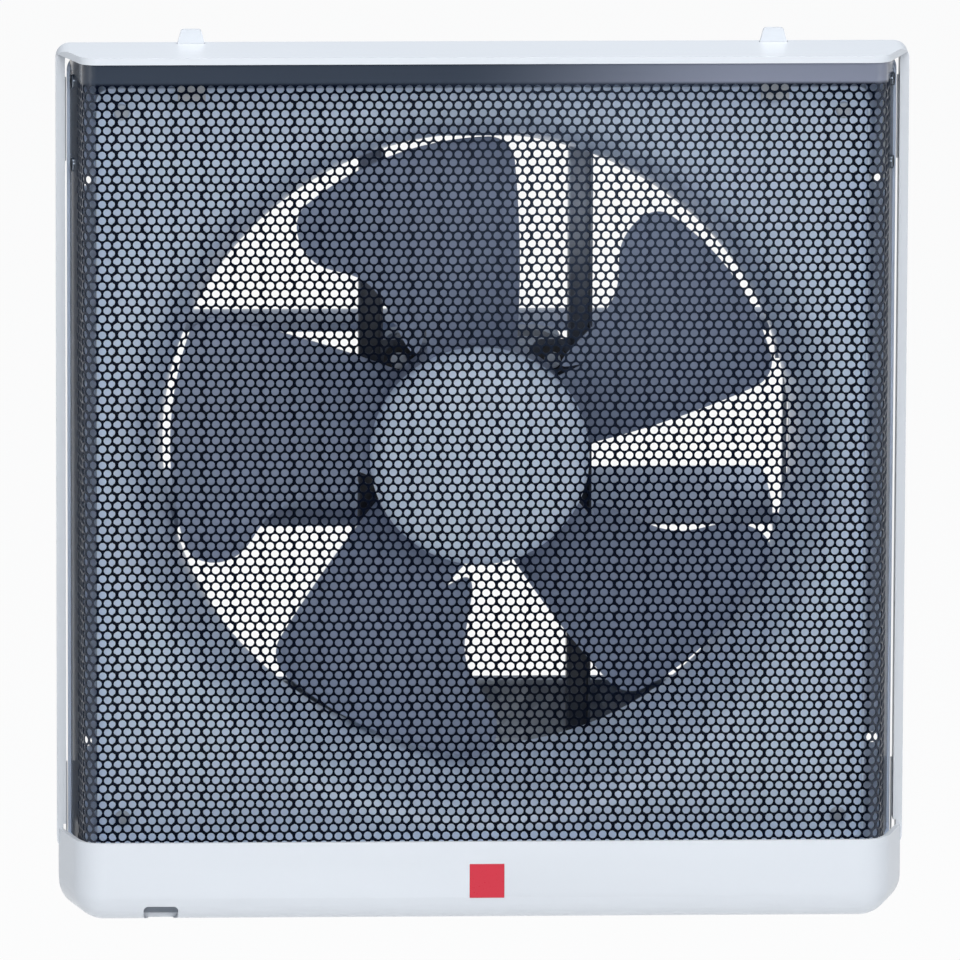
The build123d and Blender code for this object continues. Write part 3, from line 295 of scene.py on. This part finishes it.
def galvanised_sheet():
    """Zinc-coated steel with its crystal spangle; the flange's front is enamelled pale."""
    material, wire = blank_material("galvanised_sheet")
    around = wire.node("ShaderNodeTexCoord")
    place = around.output("Object")
    faces_front = around.output("Normal").part("Y") < -0.5
    depth = place.part("Y")
    enamelled = faces_front * (depth < 0.0) * (depth > -flange_reach)
    spangle = wire.node("ShaderNodeTexVoronoi", Vector=place, Scale=110.0).output("Color")
    flake = wire.node("ShaderNodeSeparateColor", i0=spangle)
    smear = wire.node("ShaderNodeTexNoise", Vector=place, Scale=20.0, Detail=5.0)
    tone = (flake * 0.6 + smear * 0.4).clamp(0, 1)
    shade = tone.ramp((0.2, linear(150, 157, 165)), (0.8, linear(190, 196, 203)))
    shade = laid_over(wire, enamelled, shade, panel_paint)
    bump = wire.node("ShaderNodeBump", Strength=0.08, Distance=0.0003, Height=smear)
    shader = wire.node(
        "ShaderNodeBsdfPrincipled", Base_Color=shade, Roughness=0.34 + tone * 0.16,
        Metallic=0.75 - enamelled * 0.75, Normal=bump,
    )
    close_material(wire, shader)
    return material


def dressed(node, material, edge=0.0003, crease=28):
    """Smooth copy of a CAD node: facets joined, edges eased, standing in for the node."""
    weld_distance = 2e-6
    flat_within = math.radians(0.4)
    source = frame["nodes"][node]
    mesh = bpy.data.meshes.new(node + "_finished")
    work = bmesh.new()
    work.from_mesh(source.data)
    bmesh.ops.remove_doubles(work, verts=work.verts, dist=weld_distance)
    bmesh.ops.dissolve_limit(work, angle_limit=flat_within, verts=work.verts, edges=work.edges)
    for face in work.faces:
        face.smooth = True
    for side in work.edges:
        if len(side.link_faces) == 2:
            side.smooth = side.calc_face_angle(0) < math.radians(crease)
    work.to_mesh(mesh)
    work.free()
    mesh.materials.append(material)
    piece = bpy.data.objects.new(node + "_finished", mesh)
    bpy.context.scene.collection.objects.link(piece)
    bevel = piece.modifiers.new("eased edges", "BEVEL")
    bevel.width = edge
    bevel.segments = 2
    bevel.limit_method = "ANGLE"
    bevel.angle_limit = math.radians(crease)
    bevel.use_clamp_overlap = True
    bevel.harden_normals = True
    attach(piece, source["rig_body"])
    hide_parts(node)
    return piece


def painted(node, material):
    """A CAD node that keeps its own mesh and gets its finish."""
    body = frame["nodes"][node]
    body.data.materials.clear()
    body.data.materials.append(material)


zinc_sheet = galvanised_sheet()
dressed("wall_box", zinc_sheet)

# ---- Orifice panel ------------------------------------------------------------------------
# Square panel pressed from steel sheet, with the fan's bell mouth drawn in its middle. It is
# enamelled pale blue-grey and held to the wall box by four screws.
panel_enamel = finish(
    "panel_enamel", panel_paint, 0.38, coat=0.25, grain=0.06, grain_size=900, tint=0.05
)
dressed("orifice_panel", panel_enamel)

# ---- Screws, bolts and bushes -------------------------------------------------------------
# Steel screws and through bolts, plated with zinc. Black moulded rubber bushes carry the
# motor on its stays, and one more takes the supply cable through the wall box.
zinc_plate = finish(
    "zinc_plate", linear(196, 203, 212), 0.34, metallic=0.7, grain=0.1, grain_size=2500, tint=0.06
)
black_rubber = finish("black_rubber", linear(28, 29, 31), 0.7, grain=0.2, grain_size=1800)
for node in ("panel_screws", "stay_screws", "motor_bolts", "terminal_screws", "shutter_screws"):
    dressed(node, zinc_plate, edge=0.0002)
dressed("motor_bushes", black_rubber, edge=0.0003)
dressed("inlet_bush", black_rubber, edge=0.0004)

# ---- Motor stays --------------------------------------------------------------------------
# Two upright channels bent from steel strip, screwed to the top and bottom of the box, in black
# enamel. Toward their upper ends a pale steel grey is painted into it in streaks: a painted
# highlight.
painted_highlight_from = 0.03
painted_highlight_to = 0.15


def stay_enamel():
    """Black enamel with a painted highlight: streaks of pale steel grey that grow in number upward.
    """
    material, wire = blank_material("stay_enamel")
    place = wire.node("ShaderNodeTexCoord").output("Object")
    # Painted highlight: the colour rises to pale steel grey in streaks toward the upper ends,
    # standing in for light falling there.
    highlight_rise = place.part("Z").fade(painted_highlight_from, painted_highlight_to)
    streaks = wire.node("ShaderNodeMapping", Vector=place, Scale=(220, 220, 18))
    streak_noise = wire.node("ShaderNodeTexNoise", Vector=streaks, Scale=1.0, Detail=5.0)
    painted_highlight_share = (highlight_rise * (0.55 + streak_noise * 0.7)).clamp(0, 1)
    shade = painted_highlight_share.ramp((0.0, linear(44, 51, 62)), (1.0, linear(205, 213, 226)))
    bump = wire.node("ShaderNodeBump", Strength=0.1, Distance=0.0003, Height=streak_noise)
    shader = wire.node(
        "ShaderNodeBsdfPrincipled", Base_Color=shade, Roughness=0.32 + streak_noise * 0.12,
        Metallic=0.2 + painted_highlight_share * 0.3, Coat_Weight=0.2, Coat_Roughness=0.1, Normal=bump,
    )
    close_material(wire, shader)
    return material


stay_enamel_painted_highlight = stay_enamel()
for node in ("motor_stay_left", "motor_stay_right"):
    dressed(node, stay_enamel_painted_highlight)

# ---- Motor --------------------------------------------------------------------------------
# Two deep-drawn end shells in grey enamel clamp the stack of core plates between them. Inside
# turn the rotor's core and the ground steel shaft, in two ball bearings.
motor_grey = finish(
    "motor_grey", linear(176, 186, 200), 0.4, coat=0.2, grain=0.08, grain_size=1000, tint=0.05
)
dressed("motor_front_shell", motor_grey, edge=0.0005)
dressed("motor_rear_shell", motor_grey, edge=0.0005)


core_plate_thickness = 0.0005


def core_plates():
    """Edges of stacked electrical steel plates."""
    material, wire = blank_material("core_plates")
    place = wire.node("ShaderNodeTexCoord").output("Object")
    stack = wire.math("SINE", place.part("Y") * (2 * math.pi / core_plate_thickness)) * 0.5 + 0.5
    rust = wire.node("ShaderNodeTexNoise", Vector=place, Scale=80.0, Detail=4.0)
    tone = (stack * 0.4 + rust * 0.6).clamp(0, 1)
    shade = tone.ramp((0.2, linear(70, 72, 76)), (0.8, linear(140, 143, 148)))
    bump = wire.node("ShaderNodeBump", Strength=0.4, Distance=0.0002, Height=stack)
    shader = wire.node(
        "ShaderNodeBsdfPrincipled", Base_Color=shade, Roughness=0.45, Metallic=0.8, Normal=bump
    )
    close_material(wire, shader)
    return material


stacked_plates = core_plates()
painted("stator_core", stacked_plates)
painted("rotor_core", stacked_plates)
painted("stator_windings", finish(
    "winding_copper", linear(150, 84, 46), 0.35, metallic=0.4, grain=0.5, grain_size=1500, tint=0.15
))
ground_steel = finish(
    "ground_steel", linear(196, 198, 200), 0.2, metallic=1.0, grain=0.05, grain_size=1500, tint=0.03
)
for node in ("bearing_front", "bearing_rear", "motor_shaft", "drive_pin"):
    dressed(node, ground_steel, edge=0.0002)

# ---- Propeller and spinner ----------------------------------------------------------------
# Five skewed blades moulded in one piece with the hub, in slate-coloured plastic, and pinned
# to the shaft. A pale domed spinner is pushed on the shaft's end and hides the hub.
blade_plastic = finish(
    "blade_plastic", linear(148, 159, 182), 0.42, grain=0.05, grain_size=700, tint=0.05
)
dressed("propeller", blade_plastic, edge=0.0005, crease=32)
spinner_plastic = finish(
    "spinner_plastic", linear(223, 236, 255), 0.4, grain=0.05, grain_size=700, tint=0.03
)
dressed("spinner", spinner_plastic, edge=0.0004)

# ---- Terminal box -------------------------------------------------------------------------
# Dark moulded box in the lower left corner, its cover held by four screws, with the nylon
# terminal block and the run capacitor inside. The shutter's drive has the same dark case.
dark_plastic = finish(
    "dark_plastic", linear(58, 62, 68), 0.5, grain=0.2, grain_size=1500, tint=0.06
)
nylon = finish("natural_nylon", linear(222, 220, 208), 0.45, grain=0.08, grain_size=900, tint=0.03)
for node in ("terminal_box", "terminal_cover", "shutter_actuator"):
    dressed(node, dark_plastic)
for node in ("terminal_block", "pivot_bushes", "actuator_arm"):
    dressed(node, nylon, edge=0.0002)
dressed("capacitor", finish(
    "capacitor_case", linear(196, 200, 204), 0.35, grain=0.05, grain_size=900, tint=0.02
))

# ---- Shutter ------------------------------------------------------------------------------
# Channel frame of galvanised sheet at the back of the box, with three cambered louvers rolled
# from sheet and enamelled. They turn in nylon bushes, and a plated link moves them together.
dressed("shutter_frame", zinc_sheet)
louver_enamel = finish(
    "louver_enamel", linear(194, 206, 227), 0.38, coat=0.2, grain=0.06, grain_size=900, tint=0.05
)
for node in ("louver_top", "louver_middle", "louver_bottom"):
    dressed(node, louver_enamel)
dressed("link_bar", zinc_plate, edge=0.0002)
dressed("actuator_bracket", zinc_sheet, edge=0.0002)

# ---- Front frame and catches --------------------------------------------------------------
# One glossy white plastic moulding makes the cap, the side strips and the lower cover. The
# two white catches on top hold it to the wall box and are pressed down to pull it off.
white_moulding = finish(
    "white_moulding", linear(203, 207, 212), 0.36, coat=0.1, grain=0.02, grain_size=500, tint=0.008,
    tint_size=6,
)
moulding = dressed("front_frame", white_moulding, edge=0.0006)
for node in ("catch_left", "catch_right"):
    dressed(node, white_moulding, edge=0.0004)

# ---- Plate on the cover -------------------------------------------------------------------
# A small bare square plate stamped from aluminium and enamelled red. It is glued flush into a
# shallow pocket in the front of the lower cover.
plate_middle = Vector((0.002, frame_box[0].y, -0.201))
plate_half = 0.0085
plate_edge = 0.00012
pocket_depth = 0.0005
pocket_gap = 0.00008
pocket_half = plate_half + pocket_gap
plate_place = plate_middle + Vector((0, 0.6 * pocket_depth, 0))   # a hair below the cover's face
work = bmesh.new()
work.from_mesh(moulding.data)


def in_front_face(face):
    """Whether a face lies in the front of the cover, or in the start of its lower rounding."""
    rounding, cover_above = 0.001, 0.03
    return face.normal.y < -0.9 and all(
        corner.co.y < plate_middle.y + rounding and corner.co.z < plate_middle.z + cover_above
        for corner in face.verts
    )


for axis in (Vector((1, 0, 0)), Vector((0, 0, 1))):
    for sign in (-1, 1):
        faces = [face for face in work.faces if in_front_face(face)]
        edges = dict.fromkeys(edge for face in faces for edge in face.edges)
        corners = dict.fromkeys(corner for face in faces for corner in face.verts)
        bmesh.ops.bisect_plane(
            work, geom=[*faces, *edges, *corners], plane_no=axis,
            plane_co=plate_middle + axis * sign * pocket_half,
        )
inside = [
    face for face in work.faces
    if in_front_face(face)
    and abs(face.calc_center_median().x - plate_middle.x) < pocket_half
    and abs(face.calc_center_median().z - plate_middle.z) < pocket_half
]
sunk = bmesh.ops.extrude_face_region(work, geom=inside)
bmesh.ops.translate(
    work, vec=(0, pocket_depth, 0),
    verts=[item for item in sunk["geom"] if isinstance(item, bmesh.types.BMVert)],
)
bmesh.ops.delete(work, geom=inside, context="FACES")
work.to_mesh(moulding.data)
work.free()

mesh = bpy.data.meshes.new("cover_plate")
work = bmesh.new()
bmesh.ops.create_cube(work, size=1.0)
bmesh.ops.scale(work, vec=(2 * plate_half, pocket_depth, 2 * plate_half), verts=work.verts)
bmesh.ops.translate(work, vec=plate_place, verts=work.verts)
bmesh.ops.bevel(
    work, geom=list(work.edges), offset=plate_edge, segments=2, profile=0.5, affect="EDGES"
)
work.to_mesh(mesh)
work.free()
mesh.materials.append(finish(
    "red_enamel", linear(190, 16, 46), 0.3, coat=0.3, grain=0.03, grain_size=1500, tint=0.04
))
plate = bpy.data.objects.new("cover_plate", mesh)
bpy.context.scene.collection.objects.link(plate)
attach(plate, "front")

# ---- Perforated front sheet ---------------------------------------------------------------
# Steel sheet punched with staggered round holes, pressed into upright flutes, bent back round
# corners at both sides and enamelled dark. It is riveted to ears inside its side walls.
hole_pitch = 0.0048
row_pitch = 0.00403
hole_radius = 0.00195
hole_sides = 12
top_hole = 0.1921            # height of the highest row of holes
sheet_thickness = 0.0008
sheet_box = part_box("grille_sheet")
sheet_depth = sheet_box[1].y - sheet_box[0].y
flare_drop = 0.0062          # how much wider the sheet is at its rear edge, each side
corner_radius = 0.0065
wall_turn = math.pi / 2 - math.atan2(flare_drop, sheet_depth)
front_half = sheet_box[1].x - flare_drop
flat_half = front_half - corner_radius * math.tan(wall_turn / 2)
side_length = math.hypot(flare_drop, sheet_depth)
developed_half = flat_half + corner_radius * wall_turn + side_length - (front_half - flat_half)
plain_side = 0.021           # width of the plain margin along the rear edge
flute_pitch = 6 * hole_pitch
flute_width = flute_pitch / 2
flute_depth = 0.0012
flute_top = 0.191
flute_bottom = -0.1826
shoulder_foot = -0.0016      # the flute's wall rises from here, inside its outline,
shoulder_brow = 0.0004       # to here, outside it


def sheet_cell(name, with_hole):
    """One cell of the staggered pattern, with its hole or blank."""
    mesh = bpy.data.meshes.new(name)
    work = bmesh.new()
    rim = [
        work.verts.new((x * hole_pitch / 2, 0, z * row_pitch / 3))
        for x, z in ((1, 1), (0, 2), (-1, 1), (-1, -1), (0, -2), (1, -1))
    ]
    if with_hole:
        ring = []
        for i in range(hole_sides):
            angle = math.pi / 6 + i * 2 * math.pi / hole_sides
            ring.append(work.verts.new(
                (hole_radius * math.cos(angle), 0, hole_radius * math.sin(angle))
            ))
        for i in range(6):
            here, there = rim[i], rim[(i + 1) % 6]
            first, middle, last = ring[2 * i], ring[2 * i + 1], ring[(2 * i + 2) % hole_sides]
            work.faces.new((here, there, middle))
            work.faces.new((here, middle, first))
            work.faces.new((there, last, middle))
    else:
        work.faces.new(rim)
    work.to_mesh(mesh)
    work.free()
    cell = bpy.data.objects.new(name, mesh)
    bpy.context.scene.collection.objects.link(cell)
    return cell


def new_geometry_tree(name, inputs):
    """A Geometry Nodes tree with named inputs; returns it with one wire for each input."""
    tree = bpy.data.node_groups.new(name, "GeometryNodeTree")
    for label, kind in inputs:
        tree.interface.new_socket(label, in_out="INPUT", socket_type=kind)
    tree.interface.new_socket("Geometry", in_out="OUTPUT", socket_type="NodeSocketGeometry")
    start = tree.nodes.new("NodeGroupInput")
    wires = {label: Wire(tree, start.outputs[label]) for label, _ in inputs}
    return tree, Wire(tree), wires


def grown(tree, name, values):
    """Run a Geometry Nodes tree with these inputs and keep its result as a plain mesh piece."""
    seed = bpy.data.objects.new(name + "_seed", bpy.data.meshes.new(name + "_seed"))
    bpy.context.scene.collection.objects.link(seed)
    modifier = seed.modifiers.new("grow", "NODES")
    modifier.node_group = tree
    for item in tree.interface.items_tree:
        if item.in_out == "INPUT" and item.name in values:
            modifier[item.identifier] = values[item.name]
    evaluated = seed.evaluated_get(bpy.context.evaluated_depsgraph_get())
    mesh = bpy.data.meshes.new_from_object(evaluated)
    mesh.name = name
    bpy.data.objects.remove(seed)
    piece = bpy.data.objects.new(name, mesh)
    bpy.context.scene.collection.objects.link(piece)
    return piece


def sheet_tree():
    """Lay out the cells flat, then bend them round the corners and press the flutes."""
    tree, wire, given = new_geometry_tree("perforated_sheet", [
        ("Open cell", "NodeSocketObject"), ("Blank cell", "NodeSocketObject"),
        ("Columns", "NodeSocketInt"), ("Rows", "NodeSocketInt"),
        ("Hole pitch", "NodeSocketFloat"), ("Row pitch", "NodeSocketFloat"),
        ("First row", "NodeSocketInt"), ("Lowest hole", "NodeSocketFloat"),
        ("Top hole", "NodeSocketFloat"), ("Open half width", "NodeSocketFloat"),
        ("Flat half", "NodeSocketFloat"), ("Corner radius", "NodeSocketFloat"),
        ("Half width", "NodeSocketFloat"), ("Bottom", "NodeSocketFloat"),
        ("Top", "NodeSocketFloat"), ("Wall turn", "NodeSocketFloat"), ("Front", "NodeSocketFloat"),
        ("Flute pitch", "NodeSocketFloat"), ("Flute width", "NodeSocketFloat"),
        ("Flute depth", "NodeSocketFloat"), ("Flute top", "NodeSocketFloat"),
        ("Flute bottom", "NodeSocketFloat"), ("Shoulder foot", "NodeSocketFloat"),
        ("Shoulder brow", "NodeSocketFloat"), ("Finish", "NodeSocketMaterial"),
    ])
    index = wire.node("GeometryNodeInputIndex")
    row = wire.math("FLOOR", (index + 0.5) / given["Columns"])
    column = index - row * given["Columns"]
    row = row + given["First row"]
    stagger = wire.math("MODULO", row + 1000, 2.0) * 0.5
    across = (column + stagger - given["Columns"] * 0.5 + 0.25) * given["Hole pitch"]
    height = given["Lowest hole"] + row * given["Row pitch"]
    spot = wire.node("ShaderNodeCombineXYZ", X=across, Y=0.0, Z=height)
    points = wire.node(
        "GeometryNodePoints", Count=given["Columns"] * given["Rows"], Position=spot
    )
    place = wire.node("GeometryNodeInputPosition")
    parts = wire.node("ShaderNodeSeparateXYZ", Vector=place)
    open_here = (abs(parts.output("X")) < given["Open half width"]) * (
        parts.output("Z") < given["Top hole"]
    )
    cells = []
    for cell, chosen in (("Open cell", open_here), ("Blank cell", 1 - open_here)):
        shape = wire.node("GeometryNodeObjectInfo", Object=given[cell]).output("Geometry")
        cells.append(wire.node(
            "GeometryNodeInstanceOnPoints", Points=points, Selection=chosen, Instance=shape
        ))
    joined = wire.node("GeometryNodeJoinGeometry", Geometry=cells[0])
    tree.links.new(cells[1].socket, joined.socket.node.inputs["Geometry"])
    flat = wire.node("GeometryNodeRealizeInstances", Geometry=joined)
    # bend: straight front, round corner, straight side wall
    u, z = parts.output("X"), parts.output("Z").clamp(given["Bottom"], given["Top"])
    run = wire.math("MINIMUM", abs(u), given["Half width"])
    bend_length = given["Corner radius"] * given["Wall turn"]
    in_bend = (run - given["Flat half"]).clamp(0, bend_length)
    past = wire.math("MAXIMUM", run - given["Flat half"] - bend_length, 0.0)
    turn = in_bend / given["Corner radius"]
    x = (
        wire.math("MINIMUM", run, given["Flat half"])
        + given["Corner radius"] * wire.math("SINE", turn)
        + past * wire.math("COSINE", given["Wall turn"])
    )
    y = (
        given["Front"]
        + given["Corner radius"] * (1 - wire.math("COSINE", turn))
        + past * wire.math("SINE", given["Wall turn"])
    )
    # flutes: distance from the nearest upright slot, on the flat front only
    near = wire.math("PINGPONG", run, given["Flute pitch"] * 0.5)
    half_run = (given["Flute top"] - given["Flute bottom"] - given["Flute width"]) * 0.5
    middle = (given["Flute top"] + given["Flute bottom"]) * 0.5
    above = wire.math("MAXIMUM", abs(z - middle) - half_run, 0.0)
    away = wire.math("SQRT", near * near + above * above) - given["Flute width"] * 0.5
    pressed = away.fade(given["Shoulder foot"], given["Shoulder brow"], 1.0, 0.0)
    y = y + pressed * given["Flute depth"] * (run < given["Flat half"])
    bent = wire.node(
        "GeometryNodeSetPosition", Geometry=flat,
        Position=wire.node("ShaderNodeCombineXYZ", X=x * wire.math("SIGN", u), Y=y, Z=z),
    )
    bent = wire.node("GeometryNodeMergeByDistance", Geometry=bent, Distance=0.00002)
    painted_sheet = wire.node("GeometryNodeSetMaterial", Geometry=bent, Material=given["Finish"])
    wire.node("NodeGroupOutput", Geometry=painted_sheet)
    return tree


painted_sheen_place = (0.06, 0.14)
first_plain = top_hole + 0.4 * row_pitch       # the plain margin above the holes begins here
last_plain = top_hole + 0.9 * row_pitch


def sheet_enamel():
    """Dark gloss enamel with painted light: a sheen round one place, a glare across the top band,
    highlights at the corners.
    """
    material, wire = blank_material("sheet_enamel")
    place = wire.node("ShaderNodeTexCoord").output("Object")
    cloud = wire.node("ShaderNodeTexNoise", Vector=place, Scale=9.0, Detail=5.0)
    fine = wire.node("ShaderNodeTexNoise", Vector=place, Scale=500.0, Detail=3.0)
    spot = wire.node("ShaderNodeSeparateXYZ", Vector=place)
    across, up = spot.output("X") - painted_sheen_place[0], spot.output("Z") - painted_sheen_place[1]
    # Painted sheen: the enamel's colour is paler round one place on the front, standing in for a
    # reflection there.
    painted_sheen = wire.math("SQRT", across * across + up * up).fade(0.01, 0.15, 0.8, 0.0)
    above = spot.output("Z").fade(first_plain, last_plain)
    rounded = abs(spot.output("X")) > flat_half
    # Painted reflection: the top band's colour runs from dark at the left to pale at the right,
    # standing in for glare.
    band_painted_reflection = spot.output("X").fade(-0.02, 0.14).ramp(
        (0.0, linear(50, 58, 70)), (1.0, linear(119, 124, 139))
    )
    shade = cloud.ramp((0.35, linear(3, 7, 18)), (0.65, linear(6, 12, 27)))
    shade = laid_over(wire, painted_sheen, shade, linear(38, 46, 60))
    # Painted highlight: the rounded corners get a paler colour, standing in for light along the
    # bends.
    shade = laid_over(wire, rounded, shade, linear(34, 41, 54))
    shade = laid_over(wire, above, shade, band_painted_reflection)
    bump = wire.node("ShaderNodeBump", Strength=0.05, Distance=0.0003, Height=fine)
    shader = wire.node(
        "ShaderNodeBsdfPrincipled", Base_Color=shade, Roughness=0.25 + fine * 0.08,
        Metallic=0.0, Specular_IOR_Level=0.02, Coat_Weight=above * 0.3 + rounded * 0.6,
        Coat_Roughness=0.15, Normal=bump,
    )
    close_material(wire, shader)
    return material


enamel = sheet_enamel()
open_cell = sheet_cell("open_cell", True)
blank_cell = sheet_cell("blank_cell", False)
sheet_plan = sheet_tree()
columns = int(2 * developed_half / hole_pitch) + 2
rows_down = math.ceil((top_hole - sheet_box[0].z) / row_pitch)
rows_up = math.ceil((sheet_box[1].z - top_hole) / row_pitch)
rows_total = rows_down + rows_up + 1
bands = 4
for band in range(bands):
    first = rows_total * band // bands
    count = rows_total * (band + 1) // bands - first
    piece = grown(sheet_plan, f"grille_mesh_{band + 1}", {
        "Open cell": open_cell, "Blank cell": blank_cell, "Columns": columns, "Rows": count,
        "Hole pitch": hole_pitch, "Row pitch": row_pitch, "First row": first,
        "Lowest hole": top_hole - rows_down * row_pitch, "Top hole": top_hole + row_pitch / 2,
        "Open half width": developed_half - plain_side, "Flat half": flat_half,
        "Corner radius": corner_radius, "Wall turn": wall_turn, "Front": sheet_box[0].y,
        "Half width": developed_half, "Bottom": sheet_box[0].z, "Top": sheet_box[1].z,
        "Flute pitch": flute_pitch, "Flute width": flute_width, "Flute depth": flute_depth,
        "Flute top": flute_top, "Flute bottom": flute_bottom, "Shoulder foot": shoulder_foot,
        "Shoulder brow": shoulder_brow, "Finish": enamel,
    })
    wall = piece.modifiers.new("sheet thickness", "SOLIDIFY")
    wall.thickness = sheet_thickness
    wall.offset = -1
    evaluated = piece.evaluated_get(bpy.context.evaluated_depsgraph_get())
    thick = bpy.data.meshes.new_from_object(evaluated)
    piece.modifiers.clear()
    piece.data = thick
    for face in thick.polygons:
        face.use_smooth = True
    thick.set_sharp_from_angle(angle=math.radians(35))
    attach(piece, "front")
bpy.data.objects.remove(open_cell)
bpy.data.objects.remove(blank_cell)
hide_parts("grille_sheet")

# ---- Rivets -------------------------------------------------------------------------------
# Domed rivets of bright steel, two at each side. They go through the sheet's side walls and
# hold it to the front frame's ears.
rivet_steel = finish(
    "rivet_steel", linear(120, 128, 138), 0.18, metallic=1.0, grain=0.04, grain_size=900, tint=0.05
)
dressed("grille_rivets", rivet_steel, edge=0.0006)
